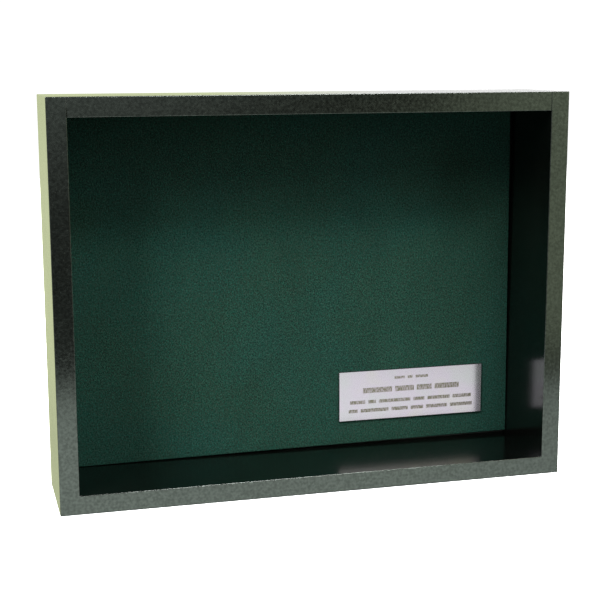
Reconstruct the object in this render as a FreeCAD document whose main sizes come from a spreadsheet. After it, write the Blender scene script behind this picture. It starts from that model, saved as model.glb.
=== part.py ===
import FreeCAD, Part
import math
import os
import re

import Sketcher
from FreeCAD import Rotation, Vector

# A lacquered wooden shadow box, open at the front, with a velour-covered panel and a nameplate.
# Frame: +X to the right, +Y to the back, +Z up. The origin is the centre of the case's underside.

# ---------------------------------------------------------------- driving dimensions (mm)

SIZES = {
    # the case: two full-height sides with the top and bottom boards fitted between them
    "case_width": 362.0,
    "case_height": 277.4,
    "case_depth": 74.0,
    "board": 13.2,
    "edge_round": 0.5,
    "seam_width": 0.25,
    "seam_depth": 0.3,
    # the rabbet for the back panel, and the room round the panel in it
    "rabbet_width": 4.0,
    "rabbet_depth": 3.0,
    "panel_play": 0.5,
    # corner dowels
    "dowel_radius": 3.0,
    "dowel_play": 0.05,
    "dowel_in_side": 8.0,
    "dowel_in_rail": 18.0,
    "dowel_end_play": 0.2,
    "dowel_chamfer": 0.6,
    "dowel_front": 18.0,
    "dowel_rear": 52.0,
    # the insert: a stiff board wrapped in velour, which sits loosely and not quite level
    "display_depth": 65.5,
    "insert_width": 333.4,
    "insert_height": 248.2,
    "insert_middle": 138.6,
    "insert_lean": 0.41,
    "insert_board": 4.0,
    "velour": 0.8,
    "velour_turned": 0.7,
    "velour_margin": 18.0,
    # the nameplate and its tape
    "plate_width": 114.0,
    "plate_height": 38.0,
    "plate_thickness": 0.8,
    "plate_bevel": 0.35,
    "plate_from_right": 78.55,
    "plate_from_floor": 38.2,
    "engraving_depth": 0.1,
    "tape_thickness": 0.6,
    "tape_inset": 4.0,
    # turn buttons and their screws
    "button_radius": 4.0,
    "button_reach": 13.0,
    "button_thickness": 1.2,
    "button_round": 0.35,
    "button_hole": 1.7,
    "button_gap": 0.1,
    "strip_middle": 4.5,
    "top_button": 60.0,
    "bottom_button": 90.0,
    "screw_shank": 1.65,
    "screw_length": 13.0,
    "screw_point": 2.5,
    "screw_head": 3.0,
    "screw_head_height": 1.9,
    "pilot_radius": 1.7,
    "pilot_depth": 12.0,
    "recess_length": 3.4,
    "recess_width": 0.7,
    "recess_depth": 1.1,
    # sawtooth hangers and their nails
    "hanger_place": 120.0,
    "hanger_length": 45.0,
    "hanger_height": 8.0,
    "hanger_metal": 0.8,
    "hanger_rise": 1.3,
    "hanger_bridge": 25.0,
    "hanger_ramp": 2.0,
    "hanger_corner": 2.0,
    "tooth_pitch": 2.4,
    "tooth_depth": 1.4,
    "nail_place": 18.5,
    "nail_shank": 0.7,
    "nail_play": 0.05,
    "nail_length": 9.0,
    "nail_point": 1.5,
    "nail_head": 1.6,
    "nail_head_height": 0.6,
    # rubber bumpers at the lower back corners
    "bumper_radius": 4.0,
    "bumper_height": 3.4,
    "bumper_top": 2.6,
}

TEETH = 9
OVERCUT = 1.0  # how far a cutting sketch reaches past the edge that it opens

# The nameplate's engraving stands for four centred lines of writing: each is a row of plain bars.
# For each line: the bars' height, the line's place above the plate's middle, and the bars' lengths.
ENGRAVING = (
    (2.0, 12.4, (8.0, 4.0, 10.0)),
    (4.0, 3.8, (23.0, 15.0, 12.0, 19.5)),
    (2.6, -5.0, (12.0, 6.0, 25.0, 9.0, 18.0, 15.0)),
    (2.6, -11.6, (7.0, 22.0, 13.0, 10.0, 17.0, 18.0)),
)
BAR_SPACE = 2.4

doc = FreeCAD.newDocument("shadow_box")
subparts = []


def make_sheet():
    """The spreadsheet that every size below is bound to."""
    sheet = doc.addObject("Spreadsheet::Sheet", "sizes")
    for row, (name, value) in enumerate(SIZES.items(), start=1):
        sheet.set(f"A{row}", name)
        sheet.set(f"B{row}", str(value))
        sheet.setAlias(f"B{row}", name)
    doc.recompute()


def bound(text):
    """An expression in the sheet's aliases, written here without the sheet's name."""
    return re.sub(r"[a-z_]+", lambda word: f"sizes.{word[0]}" if word[0] in SIZES else word[0], text)


def bind(thing, **expressions):
    """Binds each property to its expression; two underscores stand for a dot."""
    for name, text in expressions.items():
        thing.setExpression(name.replace("__", "."), bound(text))


# ---------------------------------------------------------------- bodies and sketches


def new_body(label):
    body = doc.addObject("PartDesign::Body", label)
    body.Label = label
    return body


def keep(thing, turn, x, y, z):
    """Places a finished sub-part, turned about +Y, and lists it for export."""
    thing.Placement.Rotation = Rotation(Vector(0, 1, 0), turn)
    bind(thing, Placement__Base__x=x, Placement__Base__y=y, Placement__Base__z=z)
    subparts.append(thing)


def lean(thing):
    """Turns a placed sub-part the little that the insert is out of level, right end up."""
    thing.Placement.Rotation = Rotation(Vector(0, -1, 0), SIZES["insert_lean"])
    bind(thing, Placement__Rotation__Angle="insert_lean")


def sketch_on(body, plane, offset="0"):
    """A sketch on one of the body's origin planes, moved along the plane's normal.

    The XZ plane's normal is -Y, so a positive offset there is towards the front.
    """
    sketch = body.newObject("Sketcher::SketchObject", body.Name + "_sketch")
    support = next(f for f in body.Origin.OriginFeatures if f.Role == plane)
    sketch.AttachmentSupport = [(support, "")]
    sketch.MapMode = "FlatFace"
    bind(sketch, AttachmentOffset__Base__z=offset)
    return sketch


def measure(sketch, kind, expression, *ends):
    """Adds one driving dimension and binds it."""
    index = sketch.addConstraint(Sketcher.Constraint(kind, *ends, 1.0))
    sketch.setExpression(f"Constraints[{index}]", bound(expression))


def rectangle(sketch, left, bottom, width, height):
    """A rectangle given by its lower left corner and its size, all four bound."""
    corners = [Vector(1, 1, 0), Vector(2, 1, 0), Vector(2, 2, 0), Vector(1, 2, 0)]
    lines = [Part.LineSegment(corners[i], corners[(i + 1) % 4]) for i in range(4)]
    first = sketch.addGeometry(lines, False)[0]
    for i in range(4):
        joint = Sketcher.Constraint("Coincident", first + i, 2, first + (i + 1) % 4, 1)
        sketch.addConstraint(joint)
        sketch.addConstraint(Sketcher.Constraint(("Horizontal", "Vertical")[i % 2], first + i))
    measure(sketch, "DistanceX", left, -1, 1, first, 1)
    measure(sketch, "DistanceY", bottom, -1, 1, first, 1)
    measure(sketch, "DistanceX", width, first, 1, first, 2)
    measure(sketch, "DistanceY", height, first + 1, 1, first + 1, 2)


def circle(sketch, x, y, radius):
    """A circle whose centre and radius are bound."""
    index = sketch.addGeometry(Part.Circle(Vector(1, 1, 0), Vector(0, 0, 1), 1), False)
    measure(sketch, "DistanceX", x, -1, 1, index, 3)
    measure(sketch, "DistanceY", y, -1, 1, index, 3)
    measure(sketch, "Radius", radius, index)


def outline(sketch, points):
    """A closed run of straight lines through points given as pairs of expressions."""
    count = len(points)
    ring = [Vector(math.cos(2 * math.pi * i / count), math.sin(2 * math.pi * i / count), 0)
            for i in range(count)]
    lines = [Part.LineSegment(ring[i], ring[(i + 1) % count]) for i in range(count)]
    first = sketch.addGeometry(lines, False)[0]
    for i, (x, y) in enumerate(points):
        joint = Sketcher.Constraint("Coincident", first + i, 2, first + (i + 1) % count, 1)
        sketch.addConstraint(joint)
        measure(sketch, "DistanceX", x, -1, 1, first + i, 1)
        measure(sketch, "DistanceY", y, -1, 1, first + i, 1)


def pad(body, sketch, length, backwards=False):
    feature = body.newObject("PartDesign::Pad", body.Name + "_pad")
    feature.Profile = sketch
    feature.Reversed = backwards
    bind(feature, Length=length)
    doc.recompute()
    return feature


def checked_cut(body, feature, before):
    """Stops the build if a cut took nothing away."""
    doc.recompute()
    if not feature.Shape.Volume < before - 1e-6:
        raise RuntimeError(f"{feature.Name} in {body.Label} cuts nothing")
    return feature


def pocket(body, sketch, depth, other_way=False):
    """Cuts against the sketch's normal, or along it if other_way is set."""
    before = body.Shape.Volume
    feature = body.newObject("PartDesign::Pocket", body.Name + "_pocket")
    feature.Profile = sketch
    feature.Reversed = other_way
    bind(feature, Length=depth)
    return checked_cut(body, feature, before)


def mirrored(body, feature, plane):
    """Repeats a cut on the other side of one of the body's origin planes."""
    before = body.Shape.Volume
    mirror = body.newObject("PartDesign::Mirrored", body.Name + "_mirror")
    mirror.Originals = [feature]
    support = next(f for f in body.Origin.OriginFeatures if f.Role == plane)
    mirror.MirrorPlane = (support, [""])
    body.Tip = mirror
    return checked_cut(body, mirror, before)


def edge_names(shape, wanted):
    """The names of the edges whose ends all pass the test."""
    return [f"Edge{i}" for i, edge in enumerate(shape.Edges, start=1)
            if all(wanted(vertex.Point) for vertex in edge.Vertexes)]


def ease(body, base, names, kind, size):
    """Rounds (Fillet) or bevels (Chamfer) the named edges of a feature."""
    feature = body.newObject(f"PartDesign::{kind}", f"{body.Name}_{kind.lower()}")
    feature.Base = (base, names)
    bind(feature, **{"Radius" if kind == "Fillet" else "Size": size})
    doc.recompute()
    return feature


def revolve(body, sketch):
    """Turns a profile a full turn about the sketch's own Y axis."""
    feature = body.newObject("PartDesign::Revolution", body.Name + "_revolution")
    feature.Profile = sketch
    feature.ReferenceAxis = (sketch, ["V_Axis"])
    feature.Angle = 360
    doc.recompute()
    return feature


def near(value, target):
    return abs(value - target) < 1e-4


def group(label, master, places, turn=0):
    """One node of several equal solids: linked copies of a master piece, at bound places."""
    links = []
    for x, y, z in places:
        link = doc.addObject("App::Link", f"{label}_copy")
        link.LinkedObject = master
        link.LinkTransform = False
        link.Placement.Rotation = Rotation(Vector(0, 1, 0), turn)
        bind(link, Placement__Base__x=x, Placement__Base__y=y, Placement__Base__z=z)
        links.append(link)
    compound = doc.addObject("Part::Compound", label)
    compound.Label = label
    compound.Links = links
    subparts.append(compound)


# ---------------------------------------------------------------- the case

BACK = "case_depth / 2"
FRONT = "-case_depth / 2"
SIDE_MIDDLE = "case_height / 2"
RAIL_LENGTH = "(case_width - 2 * board)"
DOWEL_ROW = ("dowel_front", "dowel_rear")
DOWEL_HOLE = "dowel_radius + dowel_play"


def rear_holes(body, radius, depth, places):
    """Blind holes from the back face of a board, at (x, z) in the board's own frame."""
    sketch = sketch_on(body, "XZ_Plane", "-case_depth")
    for x, z in places:
        circle(sketch, x, z, radius)
    pocket(body, sketch, depth, other_way=True)


def side_board(label, turn, x):
    """A full-height side. Own frame: outer face at x 0, front at y 0, middle of the height at z 0."""
    body = new_body(label)
    profile = sketch_on(body, "XZ_Plane")
    rectangle(profile, "0", "-case_height / 2", "board", "case_height")
    board = pad(body, profile, "case_depth", backwards=True)
    inner = SIZES["board"]
    outer_edges = [name for name in edge_names(board.Shape, lambda p: True)
                   if name not in edge_names(board.Shape, lambda p: near(p.x, inner))]
    ease(body, board, outer_edges, "Fillet", "edge_round")
    eased_inner_arris(body)
    rabbet = sketch_on(body, "XZ_Plane", "-case_depth")
    rectangle(rabbet, "board - rabbet_width", "-case_height / 2 + board - rabbet_width",
              f"rabbet_width + {OVERCUT}", "case_height - 2 * board + 2 * rabbet_width")
    pocket(body, rabbet, "rabbet_depth", other_way=True)
    holes = sketch_on(body, "YZ_Plane", "board")
    for y in DOWEL_ROW:
        circle(holes, y, "case_height / 2 - board / 2", DOWEL_HOLE)
    upper = pocket(body, holes, "dowel_in_side + dowel_end_play")
    mirrored(body, upper, "XY_Plane")
    rear_holes(body, "pilot_radius", "pilot_depth", [("strip_middle", "0")])
    keep(body, turn, x, FRONT, SIDE_MIDDLE)


def eased_inner_arris(body):
    """Rounds a side's inner front edge, only between the top and bottom boards."""
    sketch = sketch_on(body, "XY_Plane", "case_height / 2 - board")
    edge = SIZES["board"]
    round_off = SIZES["edge_round"]
    centre = Vector(edge - round_off, round_off, 0)
    along = Part.LineSegment(Vector(edge - round_off, 0, 0), Vector(edge, 0, 0))
    inward = Part.LineSegment(Vector(edge, 0, 0), Vector(edge, round_off, 0))
    quarter = Part.ArcOfCircle(Part.Circle(centre, Vector(0, 0, 1), round_off), -math.pi / 2, 0)
    sketch.addGeometry([along, inward, quarter], False)
    for rule in (("Horizontal", 0), ("Vertical", 1), ("Coincident", 0, 2, 1, 1),
                 ("Coincident", 0, 1, 2, 1), ("Coincident", 1, 2, 2, 2),
                 ("Vertical", 0, 1, 2, 3), ("Horizontal", 1, 2, 2, 3),
                 ("PointOnObject", 0, 1, -1)):
        sketch.addConstraint(Sketcher.Constraint(*rule))
    measure(sketch, "DistanceX", "board", -1, 1, 0, 2)
    measure(sketch, "Radius", "edge_round", 2)
    pocket(body, sketch, "case_height - 2 * board")


def rail(label, turn, z, screw_places, nail_places=(), open_seams=False):
    """A board between the sides. Own frame: outer face at z 0, front at y 0, middle at x 0."""
    body = new_body(label)
    profile = sketch_on(body, "XZ_Plane")
    rectangle(profile, f"-{RAIL_LENGTH} / 2", "0", RAIL_LENGTH, "board")
    board = pad(body, profile, "case_depth", backwards=True)
    depth = SIZES["case_depth"]
    inner = SIZES["board"]
    long_edges = []
    for y, level in ((0, 0), (depth, 0), (0, inner)):
        long_edges += edge_names(board.Shape, lambda p: near(p.y, y) and near(p.z, level))
    ease(body, board, long_edges, "Fillet", "edge_round")
    rabbet = sketch_on(body, "XZ_Plane", "-case_depth")
    rectangle(rabbet, f"-{RAIL_LENGTH} / 2 - {OVERCUT}", "board - rabbet_width",
              f"{RAIL_LENGTH} + 2 * {OVERCUT}", f"rabbet_width + {OVERCUT}")
    pocket(body, rabbet, "rabbet_depth", other_way=True)
    holes = sketch_on(body, "YZ_Plane", f"{RAIL_LENGTH} / 2")
    for y in DOWEL_ROW:
        circle(holes, y, "board / 2", DOWEL_HOLE)
    right_end = pocket(body, holes, "dowel_in_rail + dowel_end_play")
    mirrored(body, right_end, "YZ_Plane")
    rear_holes(body, "pilot_radius", "pilot_depth", [(x, "strip_middle") for x in screw_places])
    if nail_places:
        rear_holes(body, "nail_shank + nail_play", "nail_length",
                   [(x, "strip_middle") for x in nail_places])
    if open_seams:
        seam = sketch_on(body, "XZ_Plane")
        rectangle(seam, f"{RAIL_LENGTH} / 2 - seam_width", f"-{OVERCUT}",
                  f"seam_width + {OVERCUT}", f"board + 2 * {OVERCUT}")
        right_seam = pocket(body, seam, "seam_depth")
        mirrored(body, right_seam, "YZ_Plane")
    keep(body, turn, "0", FRONT, z)


def dowel_master():
    """One fluteless dowel pin along +X, with its stile end at x 0 and chamfered ends."""
    body = new_body("dowel_master")
    sketch = sketch_on(body, "YZ_Plane")
    circle(sketch, "0", "0", "dowel_radius")
    pin = pad(body, sketch, "dowel_in_side + dowel_in_rail")
    ends = [f"Edge{i}" for i, edge in enumerate(pin.Shape.Edges, start=1)
            if edge.Curve.TypeId == "Part::GeomCircle"]
    ease(body, pin, ends, "Chamfer", "dowel_chamfer")
    return body


def corner_dowels():
    """Two dowels at each corner, driven through the rail's end into the side."""
    master = dowel_master()
    start = "case_width / 2 - board + dowel_in_side"
    heights = {"top": "case_height - board / 2", "bottom": "board / 2"}
    sides = {"left": (f"-({start})", 0), "right": (start, 180)}
    for level, z in heights.items():
        for side, (x, turn) in sides.items():
            places = [(x, f"{y} - case_depth / 2", z) for y in DOWEL_ROW]
            group(f"dowels_{level}_{side}", master, places, turn)


# ---------------------------------------------------------------- the insert and the back

BOARD_WIDTH = "(insert_width - 2 * velour)"
BOARD_HEIGHT = "(insert_height - 2 * velour)"
CLOTH_FRONT = "display_depth - case_depth / 2"


def upright_slab(label, width, height, thickness, y, z=SIDE_MIDDLE, x="0"):
    """A flat upright board, centred on (x, z), with its front face at y."""
    body = new_body(label)
    sketch = sketch_on(body, "XZ_Plane")
    rectangle(sketch, f"-{width} / 2", f"-{height} / 2", width, height)
    slab = pad(body, sketch, thickness, backwards=True)
    keep(body, 0, x, y, z)
    return body, slab


def insert_board():
    board, _ = upright_slab("insert_board", BOARD_WIDTH, BOARD_HEIGHT, "insert_board",
                            f"{CLOTH_FRONT} + velour", "insert_middle")
    lean(board)


def back_panel():
    width = f"({RAIL_LENGTH} + 2 * rabbet_width - 2 * panel_play)"
    height = "(case_height - 2 * board + 2 * rabbet_width - 2 * panel_play)"
    upright_slab("back_panel", width, height, "rabbet_depth", f"{BACK} - rabbet_depth")


def block(name, width, thickness, height, y):
    """A plain block centred in X and Z, with its front at y."""
    box = doc.addObject("Part::Box", name)
    bind(box, Length=width, Width=thickness, Height=height, Placement__Base__x=f"-{width} / 2",
         Placement__Base__y=y, Placement__Base__z=f"-{height} / 2")
    return box


def velour_cover():
    """The cloth: a skin over the insert board's front and edges, turned over behind it."""
    outer = block("cloth_outside", "insert_width", "velour + insert_board + velour_turned",
                  "insert_height", "0")
    inside = block("cloth_inside", BOARD_WIDTH, "insert_board", BOARD_HEIGHT, "velour")
    window = block("cloth_window", "(insert_width - 2 * velour_margin)",
                   "insert_board + velour_turned", "(insert_height - 2 * velour_margin)", "velour")
    hollow = doc.addObject("Part::Fuse", "cloth_hollow")
    hollow.Base = inside
    hollow.Tool = window
    cover = doc.addObject("Part::Cut", "velour_cover")
    cover.Label = "velour_cover"
    cover.Base = outer
    cover.Tool = hollow
    keep(cover, 0, "0", CLOTH_FRONT, "insert_middle")
    lean(cover)


# ---------------------------------------------------------------- the nameplate

PLATE_X = "case_width / 2 - board - plate_from_right"
PLATE_Z = "board + plate_from_floor"


def engrave(plate, bar_height, middle, lengths):
    """One line of writing as a centred row of bars, cut into the plate's front face."""
    sketch = sketch_on(plate, "XZ_Plane")
    start = -(sum(lengths) + BAR_SPACE * (len(lengths) - 1)) / 2
    for length in lengths:
        rectangle(sketch, str(start), str(middle - bar_height / 2), str(length), str(bar_height))
        start += length + BAR_SPACE
    pocket(plate, sketch, "engraving_depth")


def nameplate():
    body, slab = upright_slab("nameplate", "plate_width", "plate_height", "plate_thickness",
                              f"{CLOTH_FRONT} - tape_thickness - plate_thickness", PLATE_Z, PLATE_X)
    ease(body, slab, edge_names(slab.Shape, lambda p: near(p.y, 0)), "Chamfer", "plate_bevel")
    for bar_height, middle, lengths in ENGRAVING:
        engrave(body, bar_height, middle, lengths)


def nameplate_tape():
    upright_slab("nameplate_tape", "(plate_width - 2 * tape_inset)",
                 "(plate_height - 2 * tape_inset)", "tape_thickness",
                 f"{CLOTH_FRONT} - tape_thickness", PLATE_Z, PLATE_X)


# ---------------------------------------------------------------- the rear hardware

STRIP_X = "case_width / 2 - strip_middle"
STRIP_TOP = "case_height - strip_middle"

# Each turn button: its screw's place, and how far it is turned from pointing along +X.
BUTTONS = {
    "turn_button_top_left": ("-top_button", STRIP_TOP, 90),
    "turn_button_top_right": ("top_button", STRIP_TOP, 90),
    "turn_button_bottom_left": ("-bottom_button", "strip_middle", -90),
    "turn_button_bottom_right": ("bottom_button", "strip_middle", -90),
    "turn_button_left": (f"-({STRIP_X})", SIDE_MIDDLE, 0),
    "turn_button_right": (STRIP_X, SIDE_MIDDLE, 180),
}


def turn_button(label, x, z, turn):
    """A flat steel finger with round ends. Own frame: the screw is at the origin, the tip at +X."""
    body = new_body(label)
    middle = sketch_on(body, "XZ_Plane")
    rectangle(middle, "0", "-button_radius", "button_reach", "2 * button_radius")
    plate = pad(body, middle, "button_thickness", backwards=True)
    for end in ("0", "button_reach"):
        rounded = sketch_on(body, "XZ_Plane")
        circle(rounded, end, "0", "button_radius")
        plate = pad(body, rounded, "button_thickness", backwards=True)
    outer = SIZES["button_thickness"]
    ease(body, plate, edge_names(plate.Shape, lambda p: near(p.y, outer)), "Fillet", "button_round")
    hole = sketch_on(body, "XZ_Plane")
    circle(hole, "0", "0", "button_hole")
    pocket(body, hole, "button_thickness")
    keep(body, turn, x, f"{BACK} + button_gap", z)


def screw_master():
    """A pan-head screw along Y: the head's underside at y 0, the shank towards -Y."""
    body = new_body("screw_master")
    sketch = sketch_on(body, "XY_Plane")
    outline(sketch, [
        ("0", "-screw_length"),
        ("screw_shank", "screw_point - screw_length"),
        ("screw_shank", "0"),
        ("screw_head", "0"),
        ("screw_head", "screw_head_height * 0.45"),
        ("screw_head * 0.86", "screw_head_height * 0.82"),
        ("screw_head * 0.58", "screw_head_height"),
        ("0", "screw_head_height"),
    ])
    revolve(body, sketch)
    slot = sketch_on(body, "XZ_Plane", "-screw_head_height")
    rectangle(slot, "-recess_length / 2", "-recess_width / 2", "recess_length", "recess_width")
    first = pocket(body, slot, "recess_depth", other_way=True)
    cross = body.newObject("PartDesign::PolarPattern", "screw_cross")
    cross.Originals = [first]
    cross.Axis = (next(f for f in body.Origin.OriginFeatures if f.Role == "Y_Axis"), [""])
    cross.Angle = 90
    cross.Occurrences = 2
    before = body.Shape.Volume
    body.Tip = cross
    checked_cut(body, cross, before)
    return body


def turn_button_screws():
    head = f"{BACK} + 2 * button_gap + button_thickness"
    places = [(x, head, z) for x, z, _ in BUTTONS.values()]
    group("turn_button_screws", screw_master(), places)


def sawtooth_hanger(label, x):
    """A bent steel strip. Own frame: the wood's face at y 0, the strip's middle at x 0, z 0."""
    body = new_body(label)
    profile = sketch_on(body, "XY_Plane", "-hanger_height / 2")
    foot = "hanger_bridge / 2 + hanger_ramp"
    right = [
        ("hanger_bridge / 2", "hanger_rise"),
        (foot, "0"),
        ("hanger_length / 2", "0"),
        ("hanger_length / 2", "hanger_metal"),
        (f"{foot} + hanger_metal * 0.35", "hanger_metal"),
        ("hanger_bridge / 2 + hanger_metal * 0.35", "hanger_rise + hanger_metal"),
    ]
    left = [(f"-({px})", py) for px, py in reversed(right)]
    outline(profile, right + left)
    strip = pad(body, profile, "hanger_height")
    end = SIZES["hanger_length"] / 2
    level = SIZES["hanger_height"] / 2
    corners = [name for name in edge_names(strip.Shape, lambda p: near(abs(p.x), end))
               if name in edge_names(strip.Shape, lambda p: near(p.z, level))
               or name in edge_names(strip.Shape, lambda p: near(p.z, -level))]
    ease(body, strip, corners, "Fillet", "hanger_corner")
    notch = sketch_on(body, "XZ_Plane", "-hanger_rise - hanger_metal")
    outline(notch, [
        (f"tooth_pitch * (0.5 - {TEETH} / 2)", "tooth_depth - hanger_height / 2"),
        (f"-tooth_pitch * {TEETH} / 2", "-hanger_height / 2"),
        (f"tooth_pitch * (1 - {TEETH} / 2)", "-hanger_height / 2"),
    ])
    first = pocket(body, notch, "hanger_rise + hanger_metal", other_way=True)
    teeth = body.newObject("PartDesign::LinearPattern", f"{label}_teeth")
    teeth.Originals = [first]
    teeth.Direction = (next(f for f in body.Origin.OriginFeatures if f.Role == "X_Axis"), [""])
    bind(teeth, Length=f"tooth_pitch * {TEETH - 1}")
    teeth.Occurrences = TEETH
    before = body.Shape.Volume
    body.Tip = teeth
    checked_cut(body, teeth, before)
    holes = sketch_on(body, "XZ_Plane")
    for place in ("nail_place", "-nail_place"):
        circle(holes, place, "0", "nail_shank + nail_play")
    pocket(body, holes, "hanger_metal")
    keep(body, 0, x, BACK, STRIP_TOP)


def nail_master():
    """A small domed nail along Y: the head's underside at y 0, the shank towards -Y."""
    body = new_body("nail_master")
    sketch = sketch_on(body, "XY_Plane")
    outline(sketch, [
        ("0", "-nail_length"),
        ("nail_shank", "nail_point - nail_length"),
        ("nail_shank", "0"),
        ("nail_head", "0"),
        ("nail_head * 0.8", "nail_head_height * 0.7"),
        ("nail_head * 0.4", "nail_head_height"),
        ("0", "nail_head_height"),
    ])
    revolve(body, sketch)
    return body


def hanger_nails():
    places = [(f"{side} * hanger_place + {hand} * nail_place", f"{BACK} + hanger_metal", STRIP_TOP)
              for side in (-1, 1) for hand in (-1, 1)]
    group("hanger_nails", nail_master(), places)


def wall_bumper(label, x):
    """A round rubber pad with sloping sides, stuck on the back. Own frame: its axis is Y."""
    body = new_body(label)
    sketch = sketch_on(body, "XY_Plane")
    outline(sketch, [
        ("0", "0"),
        ("bumper_radius", "0"),
        ("bumper_radius", "bumper_height * 0.25"),
        ("bumper_top + (bumper_radius - bumper_top) * 0.45", "bumper_height * 0.8"),
        ("bumper_top * 0.75", "bumper_height"),
        ("0", "bumper_height"),
    ])
    revolve(body, sketch)
    keep(body, 0, x, BACK, "strip_middle")


# ---------------------------------------------------------------- build, check and write


def build():
    make_sheet()
    side_board("left_stile", 0, "-case_width / 2")
    side_board("right_stile", 180, "case_width / 2")
    nails = [f"{side} * hanger_place + {hand} * nail_place" for side in (-1, 1) for hand in (-1, 1)]
    rail("bottom_rail", 0, "0", ("bottom_button", "-bottom_button"))
    rail("top_rail", 180, "case_height", ("top_button", "-top_button"), nails, open_seams=True)
    corner_dowels()
    back_panel()
    insert_board()
    velour_cover()
    nameplate()
    nameplate_tape()
    for label, (x, z, turn) in BUTTONS.items():
        turn_button(label, x, z, turn)
    turn_button_screws()
    sawtooth_hanger("sawtooth_hanger_left", "-hanger_place")
    sawtooth_hanger("sawtooth_hanger_right", "hanger_place")
    hanger_nails()
    wall_bumper("wall_bumper_left", f"-({STRIP_X})")
    wall_bumper("wall_bumper_right", STRIP_X)
    doc.recompute()


def check():
    """Stops on any object that failed, and on any sub-part that isn't a sound solid."""
    for thing in doc.Objects:
        if {"Invalid", "Error"} & set(thing.State):
            raise RuntimeError(f"{thing.Label} failed: {thing.State}")
    for part in subparts:
        if part.Shape.isNull() or not part.Shape.isValid() or not part.Shape.Solids:
            raise RuntimeError(f"{part.Label} has no valid solid")


def write():
    os.makedirs("parts", exist_ok=True)
    for part in subparts:
        part.Shape.exportStep(f"parts/{part.Label}.step")
        box = part.Shape.BoundBox
        print(f"{part.Label}: {len(part.Shape.Solids)} solid(s), {part.Shape.Volume:.1f} mm3, "
              f"x {box.XMin:.2f}..{box.XMax:.2f}, y {box.YMin:.2f}..{box.YMax:.2f}, "
              f"z {box.ZMin:.2f}..{box.ZMax:.2f}")


build()
check()
write()
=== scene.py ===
from math import cos, pi, radians, sin

import bmesh
import bpy
from mathutils import Matrix, Vector


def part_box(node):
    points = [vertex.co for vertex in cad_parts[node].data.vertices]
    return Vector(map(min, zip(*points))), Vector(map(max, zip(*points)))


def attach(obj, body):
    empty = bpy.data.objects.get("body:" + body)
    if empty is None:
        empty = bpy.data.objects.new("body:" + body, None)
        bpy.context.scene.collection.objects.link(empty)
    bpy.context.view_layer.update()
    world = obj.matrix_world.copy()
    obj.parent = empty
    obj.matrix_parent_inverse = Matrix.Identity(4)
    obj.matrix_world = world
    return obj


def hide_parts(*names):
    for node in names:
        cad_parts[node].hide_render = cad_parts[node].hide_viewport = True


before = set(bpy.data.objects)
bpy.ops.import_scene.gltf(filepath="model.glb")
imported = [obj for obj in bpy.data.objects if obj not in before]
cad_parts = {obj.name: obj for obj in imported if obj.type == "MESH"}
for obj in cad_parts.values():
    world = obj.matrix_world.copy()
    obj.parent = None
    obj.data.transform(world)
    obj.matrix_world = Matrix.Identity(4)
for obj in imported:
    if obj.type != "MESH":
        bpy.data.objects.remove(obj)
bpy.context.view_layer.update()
scene = bpy.context.scene

MM = 0.001

# ---------------------------------------------------------------- places read from the frame

case_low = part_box("left_stile")[0]
case_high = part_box("right_stile")[1]
FRONT_Y = case_low.y
BACK_Y = case_high.y
MIDDLE_Z = (case_low.z + case_high.z) / 2
JOINT_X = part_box("right_stile")[0].x    # how far each side of the middle the corner joints are


# ---------------------------------------------------------------- shader building


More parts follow.
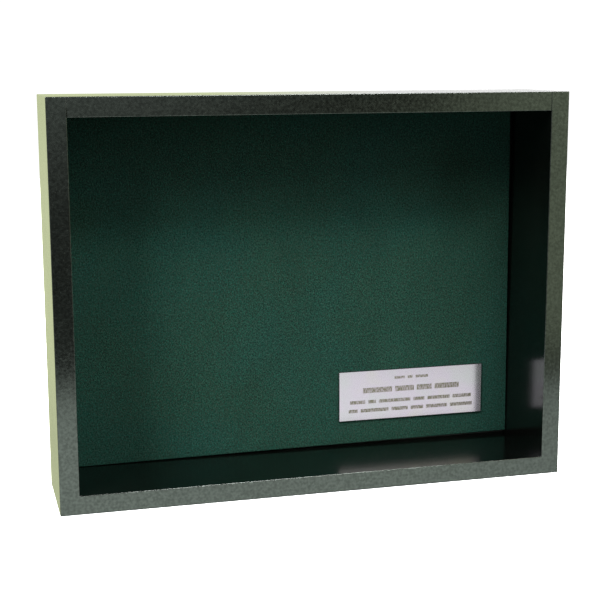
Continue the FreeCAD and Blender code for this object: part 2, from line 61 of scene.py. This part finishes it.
class Shader:
    """One material's nodes: short calls that add a node, set its inputs and return it."""

    def __init__(self, name):
        self.material = bpy.data.materials.new(name)
        self.material.use_nodes = True
        self.tree = self.material.node_tree
        self.surface = self.tree.nodes["Principled BSDF"]
        self.coordinates = self.tree.nodes.new("ShaderNodeTexCoord").outputs["Object"]

    def add(self, kind, settings=None, **inputs):
        """Adds a node; an input is a number, a colour, or another node's output."""
        node = self.tree.nodes.new("ShaderNode" + kind)
        for name, value in (settings or {}).items():
            setattr(node, name, value)
        for name, value in inputs.items():
            self.set(node, name.replace("_", " "), value)
        return node

    def set(self, node, name, value):
        socket = node.inputs[int(name)] if name.isdigit() else node.inputs[name]
        if isinstance(value, bpy.types.NodeSocket):
            self.tree.links.new(value, socket)
        else:
            socket.default_value = value

    def finish(self, **inputs):
        """Sets the surface's own inputs."""
        for name, value in inputs.items():
            self.set(self.surface, name.replace("_", " "), value)
        return self.material

    def stretched(self, scale):
        """The object's coordinates, in metres, multiplied along each axis."""
        node = self.add("Mapping", Scale=scale)
        self.set(node, "Vector", self.coordinates)
        return node.outputs["Vector"]

    def noise(self, scale, detail=3.0, roughness=0.5, stretch=(1, 1, 1), distortion=0.0):
        """Noise whose features are about 1 / scale metres wide before stretching."""
        node = self.add("TexNoise", Vector=self.stretched(stretch), Scale=scale, Detail=detail,
                        Roughness=roughness, Distortion=distortion)
        return node.outputs["Fac"]

    def specks(self, scale, size, stretch=(1, 1, 1)):
        """Small round spots, one to a cell: 1 in a spot and 0 round it."""
        cells = self.add("TexVoronoi", Vector=self.stretched(stretch), Scale=scale)
        return self.ramp(cells.outputs["Distance"], (size * 0.5, 1.0), (size, 0.0))

    def ramp(self, value, *stops):
        """Maps a value to greys or colours through (position, grey or colour) stops."""
        node = self.add("ValToRGB", Fac=value)
        marks = node.color_ramp.elements
        while len(marks) < len(stops):
            marks.new(0.5)
        for mark, (position, shade) in zip(marks, stops):
            mark.position = position
            mark.color = (*shade, 1) if isinstance(shade, tuple) else (shade, shade, shade, 1)
        return node.outputs["Color"]

    def math(self, operation, first, second=0.0, clamp=False):
        node = self.add("Math", {"operation": operation, "use_clamp": clamp})
        self.set(node, "0", first)
        self.set(node, "1", second)
        return node.outputs[0]

    def spread(self, value, low, high):
        """Maps 0..1 to low..high."""
        node = self.add("MapRange", Value=value, **{"To_Min": low, "To_Max": high})
        return node.outputs["Result"]

    def mix(self, factor, first, second, blend="MIX"):
        node = self.add("Mix", {"data_type": "RGBA", "blend_type": blend})
        self.set(node, "0", factor)
        for index, value in ((6, first), (7, second)):
            self.set(node, str(index), (*value, 1) if isinstance(value, tuple) else value)
        return node.outputs[2]

    def bump(self, height, depth, normal=None):
        """Bumps the surface by a height of 0..1 that stands for depth metres."""
        node = self.add("Bump", Height=height, Distance=depth)
        if normal is not None:
            self.set(node, "Normal", normal)
        return node.outputs["Normal"]

    def tint(self, first, second):
        """Multiplies two colours."""
        return self.mix(1.0, first, second, "MULTIPLY")

    def place(self, axis):
        """One coordinate of the point, in metres."""
        node = self.add("SeparateXYZ", Vector=self.coordinates)
        return node.outputs[axis]

    def facing(self, axis):
        """How far the surface faces along one of the object's axes, from -1 to 1."""
        node = self.add("SeparateXYZ", Vector=self.add("TexCoord").outputs["Normal"])
        return node.outputs[axis]


# ---------------------------------------------------------------- materials

LACQUER_BLACK = (0.0005, 0.0006, 0.0005)
LACQUER_DUSTY = (0.0014, 0.0015, 0.0012)
LACQUER_TINT = (0.92, 1.0, 0.94, 1)
JOINT_WIDTH = 0.28 * MM     # how far each side of a corner joint the lacquer has sunk
JOINT_DEPTH = 0.30 * MM
LOWER_JOINTS = 0.25         # how much the two lower joints show of what the upper ones do
HIGHLIGHT_REACH = 9 * MM         # how far down the top left joint the painted highlight comes


def lacquer(name, grain_axis):
    """Black semi-gloss lacquer over fine-grained board: the grain only just shows as relief."""
    s = Shader(name)
    along = [1.0, 1.0, 1.0]
    along[grain_axis] = 0.035
    pores = s.noise(1400, 4, 0.65, stretch=along)
    figure = s.noise(160, 3, 0.5, stretch=along, distortion=0.6)
    peel = s.noise(520, 2, 0.5)
    smears = s.noise(14, 4, 0.6)
    dust = s.specks(520, 0.085)
    joint = corner_joints(s)
    relief = s.bump(figure, 0.010 * MM)
    relief = s.bump(peel, 0.020 * MM, relief)
    relief = s.bump(pores, 0.006 * MM, relief)
    relief = s.bump(dust, 0.02 * MM, relief)
    relief = s.bump(s.math("SUBTRACT", 1.0, joint), JOINT_DEPTH, relief)
    body = s.mix(s.ramp(smears, (0.35, 0.0), (0.75, 1.0)), LACQUER_BLACK, LACQUER_DUSTY)
    colour = s.mix(s.math("MULTIPLY", dust, 0.22), body, (0.12, 0.12, 0.11))
    # painted highlight: a pale line down the upper part of the top left joint
    colour = s.mix(joint_dust(s, joint), colour, (0.13, 0.14, 0.13))
    gloss = s.math("ADD", s.spread(smears, 0.14, 0.20), s.spread(peel, -0.05, 0.06))
    mottle = s.ramp(peel, (0.34, 0.0), (0.66, 1.0))
    film = s.math("ADD", s.spread(mottle, 1.60, 1.80), s.spread(pores, -0.07, 0.07))
    return s.finish(Base_Color=colour, Roughness=gloss, IOR=film, Specular_Tint=LACQUER_TINT,
                    Normal=relief)


def corner_joints(s):
    """Where the lacquer has sunk into the butt joints between the rails and the stiles."""
    across = s.math("ABSOLUTE", s.place("X"))
    off_line = s.math("ABSOLUTE", s.math("SUBTRACT", across, JOINT_X))
    line = s.ramp(s.math("DIVIDE", off_line, JOINT_WIDTH), (0.0, 1.0), (1.0, 0.0))
    upper = s.math("GREATER_THAN", s.place("Z"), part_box("top_rail")[0].z)
    lower = s.math("LESS_THAN", s.place("Z"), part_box("bottom_rail")[1].z)
    strength = s.math("ADD", upper, s.math("MULTIPLY", lower, LOWER_JOINTS))
    return s.math("MULTIPLY", line, strength)


def joint_dust(s, joint):
    """Painted highlight: a pale line in the upper part of the top left joint, where the joint
    catches the light.
    """
    above = s.math("SUBTRACT", s.place("Z"), case_high.z - HIGHLIGHT_REACH)
    upper = s.ramp(above, (0.0, 0.0), (2 * MM, 1.0))
    left = s.math("LESS_THAN", s.place("X"), 0.0)
    return s.math("MULTIPLY", s.math("MULTIPLY", joint, upper), left)


def velour():
    """Deep green short-pile velour: speckled tufts, brushed patches, painted shade in the hollows
    between clumps, and a sheen on its edges.
    """
    s = Shader("velour")
    tufts = s.noise(1500, 3, 0.7)
    strands = s.noise(2600, 2, 0.6, stretch=(1.0, 1.0, 0.45))
    clumps = s.noise(980, 3, 0.7, stretch=(1.0, 1.0, 0.85))
    patches = s.noise(11, 3, 0.55, distortion=0.4)
    brushed = s.noise(24, 4, 0.62, stretch=(1.0, 1.0, 0.55), distortion=0.5)
    dark, middle = (0.0068, 0.0230, 0.0163), (0.0104, 0.0342, 0.0244)
    light = (0.0160, 0.0485, 0.0350)
    pile = s.ramp(tufts, (0.30, dark), (0.52, middle), (0.74, light))
    hue = s.ramp(patches, (0.38, (1.06, 0.98, 0.95)), (0.62, (0.92, 1.01, 1.06)))
    fibre = s.ramp(s.noise(1150, 2, 0.6), (0.38, (1.24, 0.90, 0.93)), (0.62, (0.62, 1.10, 1.05)))
    # painted shade: the colour darkens where the clumps' bumps are low, between them
    hollow_shade = s.ramp(clumps, (0.38, 0.32), (0.62, 1.0))
    hollow_shade_and_brushing = s.math("MULTIPLY", hollow_shade, s.spread(brushed, 1.16, 1.84))
    shaded = s.add("VectorMath", {"operation": "SCALE"})
    s.set(shaded, "0", s.tint(s.tint(pile, hue), fibre))
    s.set(shaded, "Scale", hollow_shade_and_brushing)
    relief = s.bump(brushed, 0.25 * MM)
    relief = s.bump(clumps, 0.16 * MM, relief)
    relief = s.bump(tufts, 0.14 * MM, relief)
    relief = s.bump(strands, 0.08 * MM, relief)
    return s.finish(Base_Color=shaded.outputs[0], Roughness=0.95, Specular_IOR_Level=0.05,
                    Sheen_Weight=0.08, Sheen_Roughness=0.45, Sheen_Tint=(0.25, 0.62, 0.50, 1),
                    Normal=relief)


BAR_SHALLOWEST = 0.05 * MM  # the floors of the plate's engraved bars are between these depths
BAR_DEEPEST = 0.12 * MM


def plate_metal():
    """Satin silver plate, finely brushed across, with dark fill in the engraved bars."""
    s = Shader("plate_metal")
    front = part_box("nameplate")[0].y
    brushing = s.noise(2400, 3, 0.6, stretch=(0.018, 1.0, 1.0))
    coarse = s.noise(420, 2, 0.5, stretch=(0.03, 1.0, 1.0))
    clouds = s.noise(38, 3, 0.5)
    silver = s.ramp(clouds, (0.30, (0.350, 0.325, 0.357)), (0.52, (0.372, 0.315, 0.384)),
                    (0.72, (0.372, 0.330, 0.351)))
    sunk = s.math("GREATER_THAN", s.place("Y"), front + BAR_SHALLOWEST)
    above = s.math("LESS_THAN", s.place("Y"), front + BAR_DEEPEST)
    level = s.math("LESS_THAN", s.facing("Y"), -0.95)
    filled = s.math("MULTIPLY", s.math("MULTIPLY", sunk, above), level)
    strokes = s.ramp(s.noise(1250, 1, 0.5, stretch=(1.0, 0.0, 0.30)), (0.46, 0.0), (0.54, 0.50))
    writing = s.mix(strokes, (0.10, 0.09, 0.06), silver)
    colour = s.mix(filled, silver, writing)
    metal = s.math("SUBTRACT", 1.0, s.math("MULTIPLY", filled, 0.75))
    gloss = s.math("ADD", s.spread(brushing, 0.09, 0.15), s.math("MULTIPLY", filled, 0.2))
    relief = s.bump(coarse, 0.002 * MM)
    relief = s.bump(brushing, 0.0015 * MM, relief)
    return s.finish(Base_Color=colour, Metallic=metal, Roughness=gloss, Normal=relief,
                    Coat_Weight=0.25, Coat_Roughness=s.spread(coarse, 0.40, 0.50))


def hardboard(name, light):
    """Smooth brown hardboard: pressed fibres, darker flecks, a slight mottle; near-black on its
    front face as painted shade for the gap round the velour.
    """
    s = Shader(name)
    fibres = s.noise(900, 4, 0.7, stretch=(0.35, 1.0, 1.0), distortion=1.2)
    mottle = s.noise(60, 4, 0.6)
    flecks = s.specks(700, 0.16, stretch=(0.5, 1.0, 1.0))
    deep, fair = (0.060, 0.030, 0.014), (0.215, 0.122, 0.060)
    colour = s.mix(s.ramp(fibres, (0.32, 0.0), (0.68, 1.0)), deep, fair)
    colour = s.mix(s.math("MULTIPLY", mottle, 0.5), colour, tuple(light * c for c in fair))
    colour = s.mix(s.math("MULTIPLY", flecks, 0.55), colour, (0.055, 0.030, 0.016))
    # painted shade: the front face shows only through the gap round the velour and is coloured
    # near-black for the shade in that gap
    painted_gap_shade_mask = s.math("LESS_THAN", s.facing("Y"), -0.5)
    painted_gap_shade = s.mix(fibres, (0.0015, 0.0015, 0.0015), (0.004, 0.0038, 0.0035))
    colour = s.mix(painted_gap_shade_mask, colour, painted_gap_shade)
    relief = s.bump(mottle, 0.05 * MM)
    relief = s.bump(fibres, 0.03 * MM, relief)
    return s.finish(Base_Color=colour, Roughness=s.spread(fibres, 0.48, 0.68), Normal=relief)


def zinc(name, tint):
    """Bright zinc plate on stamped steel: faint clouding, rolling marks and small scuffs."""
    s = Shader(name)
    clouds = s.noise(260, 4, 0.6)
    rolled = s.noise(2600, 2, 0.5, stretch=(0.06, 1.0, 1.0))
    scuffs = s.specks(1500, 0.14)
    bright = s.mix(clouds, tuple(0.62 * c for c in tint), tuple(0.88 * c for c in tint))
    colour = s.mix(s.math("MULTIPLY", scuffs, 0.4), bright, (0.22, 0.22, 0.21))
    gloss = s.math("ADD", s.spread(clouds, 0.26, 0.42), s.math("MULTIPLY", scuffs, 0.15))
    relief = s.bump(rolled, 0.004 * MM)
    relief = s.bump(scuffs, 0.01 * MM, relief)
    return s.finish(Base_Color=colour, Metallic=1.0, Roughness=gloss, Normal=relief)


def brass():
    """Small brass-plated nails, a little tarnished."""
    s = Shader("nail_brass")
    tarnish = s.noise(1800, 3, 0.6)
    colour = s.mix(tarnish, (0.50, 0.33, 0.13), (0.85, 0.65, 0.32))
    return s.finish(Base_Color=colour, Metallic=1.0, Roughness=s.spread(tarnish, 0.38, 0.24),
                    Normal=s.bump(tarnish, 0.006 * MM))


def rubber():
    """Soft black rubber with a moulded grain and a little dust."""
    s = Shader("bumper_rubber")
    grain = s.noise(3200, 3, 0.6)
    dust = s.noise(300, 4, 0.6)
    dusty = s.ramp(dust, (0.45, 0.0), (0.85, 1.0))
    colour = s.mix(dusty, (0.020, 0.020, 0.020), (0.075, 0.072, 0.066))
    return s.finish(Base_Color=colour, Roughness=s.spread(grain, 0.62, 0.82),
                    Normal=s.bump(grain, 0.03 * MM))


def beech():
    """Pale bare beech dowel."""
    s = Shader("dowel_wood")
    grain = s.noise(1500, 4, 0.6, stretch=(0.05, 1.0, 1.0))
    colour = s.mix(grain, (0.42, 0.27, 0.14), (0.72, 0.53, 0.33))
    return s.finish(Base_Color=colour, Roughness=s.spread(grain, 0.5, 0.7),
                    Normal=s.bump(grain, 0.03 * MM))


def foam_tape():
    """Off-white foam tape with open cells."""
    s = Shader("tape")
    cells = s.noise(2200, 3, 0.6)
    colour = s.mix(cells, (0.60, 0.58, 0.53), (0.82, 0.81, 0.77))
    return s.finish(Base_Color=colour, Roughness=s.spread(cells, 0.7, 0.9),
                    Normal=s.bump(cells, 0.05 * MM))


def dress(material, *nodes):
    """Gives CAD nodes a finished material."""
    for name in nodes:
        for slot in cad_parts[name].material_slots:
            slot.material = material


def dress_frame():
    dress(lacquer("lacquer_upright", 2), "left_stile", "right_stile")
    dress(lacquer("lacquer_level", 0), "top_rail", "bottom_rail")
    dress(plate_metal(), "nameplate")
    dress(hardboard("back_hardboard", 1.0), "back_panel")
    dress(hardboard("insert_hardboard", 1.15), "insert_board")
    steel = zinc("button_steel", (0.66, 0.66, 0.64))
    dress(steel, *[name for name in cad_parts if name.startswith("turn_button")])
    dress(zinc("screw_steel", (0.72, 0.71, 0.66)), "turn_button_screws")
    dress(zinc("hanger_steel", (0.69, 0.68, 0.66)), "sawtooth_hanger_left", "sawtooth_hanger_right")
    dress(brass(), "hanger_nails")
    dress(rubber(), "wall_bumper_left", "wall_bumper_right")
    dress(beech(), *[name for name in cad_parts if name.startswith("dowels")])
    dress(foam_tape(), "nameplate_tape")


# ---------------------------------------------------------------- the velour

CLOTH_THICK = 0.6 * MM
FOLD_ROUND = 0.7 * MM       # how round the cloth goes over the board's edge
FOLD_STEPS = 6              # faces across each rounded edge
CORNER_STEPS = 4            # faces round each upright corner
INSERT_LEAN = 0.41          # degrees that the insert is out of level, right end up
MARGIN = 18 * MM            # how far it is turned over behind
MARGIN_ROWS = 3
GRID_STEP = 6 * MM
WELD = 0.02 * MM            # points nearer than this become one


def stations(low, high, step):
    """Evenly spaced values from low to high, about a step apart."""
    count = round((high - low) / step)
    return [low + (high - low) * i / count for i in range(count + 1)]


def wrapping(front, back):
    """The cloth's section from the front face round the edge and behind: (inset, depth) pairs."""
    turn = [radians(90 * i / FOLD_STEPS) for i in range(1, FOLD_STEPS + 1)]
    over = [(FOLD_ROUND * (1 - sin(a)), front + FOLD_ROUND * (1 - cos(a))) for a in turn]
    under = [(FOLD_ROUND * (1 - cos(a)), back - FOLD_ROUND * (1 - sin(a))) for a in turn]
    behind = [(MARGIN * k / MARGIN_ROWS, back) for k in range(1, MARGIN_ROWS + 1)]
    return over + under + behind


def ring(mesh, xs, zs, inset, depth, low, high):
    """One loop of points round the panel at an inset; its corners are rounded by what is left."""
    corner = FOLD_ROUND - min(inset, FOLD_ROUND)
    points = []
    bottom = [(x, low.z + inset) for x in xs[1:-1]]
    right = [(high.x - inset, z) for z in zs[1:-1]]
    top = [(x, high.z - inset) for x in reversed(xs[1:-1])]
    left = [(low.x + inset, z) for z in reversed(zs[1:-1])]
    centres = [(low.x, low.z, 180), (high.x, low.z, 270), (high.x, high.z, 0), (low.x, high.z, 90)]
    for (cx, cz, start), side in zip(centres, (bottom, right, top, left)):
        inward_x = 1 if cx == low.x else -1
        inward_z = 1 if cz == low.z else -1
        middle = (cx + inward_x * (inset + corner), cz + inward_z * (inset + corner))
        for i in range(CORNER_STEPS + 1):
            a = radians(start + 90 * i / CORNER_STEPS)
            points.append((middle[0] + corner * cos(a), middle[1] + corner * sin(a)))
        points += side
    return [mesh.verts.new((x, depth, z)) for x, z in points]


def clamp_sides(values, low, high):
    """Keeps the grid's lines inside the square corners of an inset loop."""
    return [min(max(v, low), high) for v in values]


def level_size(low, high, lean):
    """The panel's own width and height, from the box that it fills when it leans."""
    spread_x, spread_z = high.x - low.x, high.z - low.z
    wide = (spread_x * cos(lean) - spread_z * sin(lean)) / cos(2 * lean)
    tall = (spread_z * cos(lean) - spread_x * sin(lean)) / cos(2 * lean)
    return wide, tall


def front_grid(mesh, xs, zs, depth):
    """The flat front; returns its outline, with each corner repeated to match the loops round it."""
    grid = [[mesh.verts.new((x, depth, z)) for x in xs] for z in zs]
    for j in range(len(zs) - 1):
        for i in range(len(xs) - 1):
            mesh.faces.new((grid[j][i], grid[j][i + 1], grid[j + 1][i + 1], grid[j + 1][i]))
    corners = (grid[0][0], grid[0][-1], grid[-1][-1], grid[-1][0])
    sides = (grid[0][1:-1], [row[-1] for row in grid[1:-1]], grid[-1][-2:0:-1],
             [row[0] for row in grid[-2:0:-1]])
    loop = []
    for corner, side in zip(corners, sides):
        loop += [corner] * (CORNER_STEPS + 1) + side
    return loop


def join_loops(mesh, inner, outer):
    """Faces between two loops, with triangles where the inner one repeats a corner."""
    for i in range(len(outer)):
        j = (i + 1) % len(outer)
        corners = [inner[i], outer[i], outer[j], inner[j]]
        if inner[i] is inner[j]:
            corners = corners[:3]
        mesh.faces.new(corners)


def cloth_mesh(low, high):
    """The cloth, level: a flat front, rounded edges, margins turned over behind."""
    mesh = bmesh.new()
    xs = stations(low.x + FOLD_ROUND, high.x - FOLD_ROUND, GRID_STEP)
    zs = stations(low.z + FOLD_ROUND, high.z - FOLD_ROUND, GRID_STEP)
    loop = front_grid(mesh, xs, zs, low.y)
    for inset, depth in wrapping(low.y, high.y):
        edge = max(inset, FOLD_ROUND)
        row_xs = clamp_sides(xs, low.x + edge, high.x - edge)
        row_zs = clamp_sides(zs, low.z + edge, high.z - edge)
        outer = ring(mesh, row_xs, row_zs, inset, depth, low, high)
        join_loops(mesh, loop, outer)
        loop = outer
    bmesh.ops.remove_doubles(mesh, verts=mesh.verts, dist=WELD)
    bmesh.ops.recalc_face_normals(mesh, faces=mesh.faces)
    front = min(mesh.faces, key=lambda f: f.calc_center_median().y)
    if front.normal.y > 0:
        bmesh.ops.reverse_faces(mesh, faces=mesh.faces)
    return mesh


def velour_piece():
    """The cloth over the insert board, out of level as the board is."""
    box_low, box_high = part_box("velour_cover")
    lean = radians(INSERT_LEAN)
    wide, tall = level_size(box_low, box_high, lean)
    low = Vector((-wide / 2, box_low.y, -tall / 2))
    high = Vector((wide / 2, box_high.y, tall / 2))
    mesh = cloth_mesh(low, high)
    middle = (box_low + box_high) / 2
    turn = Matrix.Translation((middle.x, 0, middle.z)) @ Matrix.Rotation(-lean, 4, "Y")
    bmesh.ops.transform(mesh, matrix=turn, verts=mesh.verts)
    cloth = new_piece("velour_cloth", mesh, velour())
    thicken = cloth.modifiers.new("thickness", "SOLIDIFY")
    thicken.thickness = CLOTH_THICK
    thicken.offset = -1
    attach(cloth, "case")
    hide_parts("velour_cover")


def new_piece(name, mesh, material):
    """Turns a bmesh into a smooth-shaded object with one material."""
    data = bpy.data.meshes.new(name)
    mesh.to_mesh(data)
    mesh.free()
    data.polygons.foreach_set("use_smooth", [True] * len(data.polygons))
    data.materials.append(material)
    piece = bpy.data.objects.new(name, data)
    scene.collection.objects.link(piece)
    return piece


# ---------------------------------------------------------------- the studio

TABLE_FRONT = 0.320         # how far the bright table reaches in front of the case
TABLE_SLANT = 0.19          # its front edge comes nearer to the right by this much per metre
TABLE_BACK = 2.6            # how far the table reaches behind the middle of the case
TABLE_SIDE = 2.6            # and to each side
BOUNCE_SIDE = 0.9           # half the width of the table that throws light back up
BOUNCE_BACK = 0.9           # and how far behind the case it reaches
ROOM_RADIUS = 3.0
ROOM_HEIGHT = 2.6
ROOM_SPAN = 85              # degrees that the curved wall reaches to each side
ROOM_STEPS = 32
WALL_HEIGHT = 2.0           # of the plain walls behind and beside the case
GROUND_TOP = 0.02           # a point of the room card lower than this is on the ground
FLOOR_GLOW = -0.2 * MM      # the height of the floor that only reflections see
ROOM_TINT = (0.90, 1.0, 0.925)
SOFTBOX_DISTANCE = 3.5
REAR_DISTANCE = 3.3
RAYS = ("camera", "diffuse", "glossy", "transmission", "volume_scatter", "shadow")


def card(name, mesh, material, seen_by):
    """A stage card that only one kind of ray sees."""
    piece = new_piece(name, mesh, material)
    for ray in RAYS:
        setattr(piece, f"visible_{ray}", ray == seen_by)
    return piece


def flat_card(corners):
    mesh = bmesh.new()
    mesh.faces.new([mesh.verts.new(corner) for corner in corners])
    return mesh


def wall_card(start, end):
    """An upright card between two (x, y) places."""
    return flat_card([(*start, 0), (*end, 0), (*end, WALL_HEIGHT), (*start, WALL_HEIGHT)])


def level_card(side, front, back, height):
    return flat_card([(-side, front, height), (side, front, height), (side, back, height),
                      (-side, back, height)])


def glow(s, colour, strength):
    return s.finish(Base_Color=(0, 0, 0, 1), Roughness=1.0, Specular_IOR_Level=0.0,
                    Emission_Color=colour, Emission_Strength=strength)


def pale_table():
    s = Shader("pale_table")
    colour = s.mix(s.noise(30, 3), (0.82, 0.82, 0.82), (0.86, 0.86, 0.86))
    return s.finish(Base_Color=colour, Roughness=0.9, Emission_Color=(1, 1, 1, 1),
                    Emission_Strength=0.7)


def table_bounce():
    """The light that the table throws back up."""
    s = Shader("table_bounce")
    return glow(s, s.ramp(s.noise(0.8, 2), (0.3, 0.98), (0.7, 1.0)), 1.06)


def room_glow():
    """What the lacquer mirrors of the table and the room in front: it is brightest to the right.

    Bearings are 0 straight ahead of the case and 1 square to its right.
    """
    s = Shader("room_glow")
    east = s.place("X")
    ahead = s.math("SUBTRACT", FRONT_Y, s.place("Y"))
    height = s.place("Z")
    bearing = s.math("DIVIDE", s.math("ARCTAN2", east, ahead), pi / 2)

    wall = s.ramp(bearing, (0.03, 0.30), (0.077, 0.23), (0.113, 0.16), (0.15, 0.065), (0.186, 0.02),
                  (0.225, 0.012), (0.250, 0.02), (0.272, 0.41), (0.32, 0.53))
    low_wall = s.ramp(height, (0.0, 0.40), (0.16, 1.0))
    upper_room = s.ramp(height, (0.40, 0.0), (0.60, 1.0))
    wall = s.mix(upper_room, wall, (0.95, 0.95, 0.95))
    left_wall = s.ramp(bearing, (0.08, 1.0), (0.16, 0.0))
    wall = s.mix(left_wall, wall, s.tint(wall, low_wall))

    ground = s.ramp(bearing, (0.0, 0.055), (0.18, 0.05), (0.26, 0.38), (0.32, 0.54))
    table_edge = s.math("SUBTRACT", TABLE_FRONT, s.math("MULTIPLY", east, TABLE_SLANT))
    past_edge = s.math("SUBTRACT", ahead, table_edge)
    near_edge = s.ramp(past_edge, (0.04, 0.20), (0.30, 1.0))
    far_left = s.ramp(s.math("ADD", east, 1.0), (0.50, 0.30), (0.78, 0.0))
    ground = s.mix(far_left, ground, (1.0, 1.0, 1.0))
    right_side = s.ramp(bearing, (0.20, 0.0), (0.28, 1.0))
    ground = s.mix(right_side, ground, s.tint(ground, near_edge))

    on_ground = s.math("LESS_THAN", height, GROUND_TOP)
    room = s.mix(on_ground, wall, ground)
    warmth = s.ramp(bearing, (0.12, (0.84, 0.84, 0.84)), (0.28, (0.82, 0.84, 0.66)))
    room = s.tint(room, warmth)

    table = s.ramp(s.math("ADD", east, 0.5), (0.05, 0.36), (0.28, 0.86), (0.60, 0.77), (0.78, 0.65))
    on_table = s.math("MULTIPLY", on_ground, s.math("LESS_THAN", past_edge, 0.0))
    return glow(s, s.tint(s.mix(on_table, room, table), ROOM_TINT), 2.5)


def room_mesh():
    """A curved wall in front of the case and the ground from it up to the case."""
    mesh = bmesh.new()
    low, high, near = [], [], []
    for i in range(ROOM_STEPS + 1):
        bearing = radians(-ROOM_SPAN + 2 * ROOM_SPAN * i / ROOM_STEPS)
        x, y = ROOM_RADIUS * sin(bearing), FRONT_Y - ROOM_RADIUS * cos(bearing)
        low.append(mesh.verts.new((x, y, FLOOR_GLOW)))
        high.append(mesh.verts.new((x, y, ROOM_HEIGHT)))
        near.append(mesh.verts.new((x, FRONT_Y, FLOOR_GLOW)))
    for row, other in ((near, low), (low, high)):
        for i in range(ROOM_STEPS):
            mesh.faces.new((row[i], row[i + 1], other[i + 1], other[i]))
    return mesh


def backdrop_glow():
    """What grazing reflections see beside and behind the case: warm white, plain to the right, and
    darker on the floor close to the case, a painted contact shadow.
    """
    s = Shader("backdrop_glow")
    warm = s.ramp(s.noise(0.8, 2), (0.3, (0.78, 0.86, 0.50)), (0.7, (0.82, 0.88, 0.56)))
    # painted contact shadow: the floor that reflections see is darker close to the case
    near = s.ramp(s.math("SUBTRACT", s.place("Y"), FRONT_Y), (0.18, 0.85), (0.42, 1.0))
    right = s.math("GREATER_THAN", s.place("X"), case_low.x)
    on_floor = s.math("LESS_THAN", s.place("Y"), TABLE_BACK - MM)
    warm = s.mix(s.math("MULTIPLY", right, on_floor), warm, (0.86, 0.86, 0.84))
    drift = s.mix(s.ramp(s.place("X"), (0.45, 0.0), (0.95, 1.0)), warm, (0.98, 0.98, 0.98))
    return glow(s, s.tint(drift, near), 1.15)


def side_glow():
    """The dim walls to each side, which only the case's outer faces mirror."""
    s = Shader("side_glow")
    return glow(s, s.ramp(s.place("Z"), (0.0, 0.62), (1.0, 0.16)), 1.0)


def studio():
    front = FRONT_Y - TABLE_FRONT
    side, back = TABLE_SIDE, TABLE_BACK
    card("table", level_card(side, -ROOM_RADIUS, back, 0), pale_table(), "camera")
    bounce = level_card(BOUNCE_SIDE, front, BACK_Y + BOUNCE_BACK, 0)
    card("bounce", bounce, table_bounce(), "diffuse")
    card("room", room_mesh(), room_glow(), "glossy")
    card("backdrop_low", level_card(side, FRONT_Y, back, FLOOR_GLOW), backdrop_glow(), "glossy")
    card("backdrop", wall_card((-side, back), (side, back)), backdrop_glow(), "glossy")
    for name, x in (("side_left", -side), ("side_right", side)):
        card(name, wall_card((x, FRONT_Y), (x, back)), side_glow(), "glossy")


def softbox(name, target, distance, bearing, height, size, power):
    """A softbox aimed at a target, at a bearing in degrees to the right of straight ahead."""
    data = bpy.data.lights.new(name, "AREA")
    data.shape = "RECTANGLE"
    data.size, data.size_y = size
    data.energy = power
    lamp = bpy.data.objects.new(name, data)
    turn, rise = radians(bearing), radians(height)
    toward = Vector((sin(turn) * cos(rise), -cos(turn) * cos(rise), sin(rise)))
    lamp.location = target + distance * toward
    lamp.rotation_euler = toward.to_track_quat("Z", "Y").to_euler()
    lamp.visible_camera = False
    scene.collection.objects.link(lamp)


def lights():
    inside = Vector((0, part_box("velour_cover")[0].y, MIDDLE_Z))
    behind = Vector((0, BACK_Y, 0))
    softbox("softbox_left", inside, SOFTBOX_DISTANCE, -51.7, 42.3, (1.09, 2.09), 218)
    softbox("softbox_middle", inside, SOFTBOX_DISTANCE, 22.6, 51.7, (1.065, 0.53), 101)
    softbox("softbox_right", inside, SOFTBOX_DISTANCE, 47.7, 24.4, (0.965, 2.34), 52)
    softbox("softbox_rear_left", behind, REAR_DISTANCE, -145, 38, (1.4, 1.4), 60)
    softbox("softbox_rear_right", behind, REAR_DISTANCE, 145, 38, (1.4, 1.4), 60)
    world = bpy.data.worlds.new("studio")
    scene.world = world
    world.use_nodes = True
    sky = world.node_tree.nodes["Background"]
    sky.inputs["Color"].default_value = (1.0, 1.0, 1.0, 1)
    sky.inputs["Strength"].default_value = 1.1
    world.cycles_visibility.diffuse = False
    world.cycles_visibility.glossy = False


# The camera stands to the left of the case, above its top, and looks down a little.
CAMERA_FROM_FRONT = Vector((-0.2465, -0.8649, 0.3002))
CAMERA_TURN = (79.785, 0.210, -15.029)      # degrees about X, Y and Z
CAMERA_LENS = 80.18                         # mm, on a sensor 36 mm wide
CAMERA_SENSOR = 36


def camera():
    data = bpy.data.cameras.new("camera")
    data.lens = CAMERA_LENS
    data.sensor_width = CAMERA_SENSOR
    eye = bpy.data.objects.new("camera", data)
    eye.location = CAMERA_FROM_FRONT + Vector((0, FRONT_Y, 0))
    eye.rotation_euler = [radians(a) for a in CAMERA_TURN]
    scene.collection.objects.link(eye)
    scene.camera = eye


# ---------------------------------------------------------------- all together

scene.view_settings.view_transform = "Standard"
camera()
dress_frame()
velour_piece()
studio()
lights()
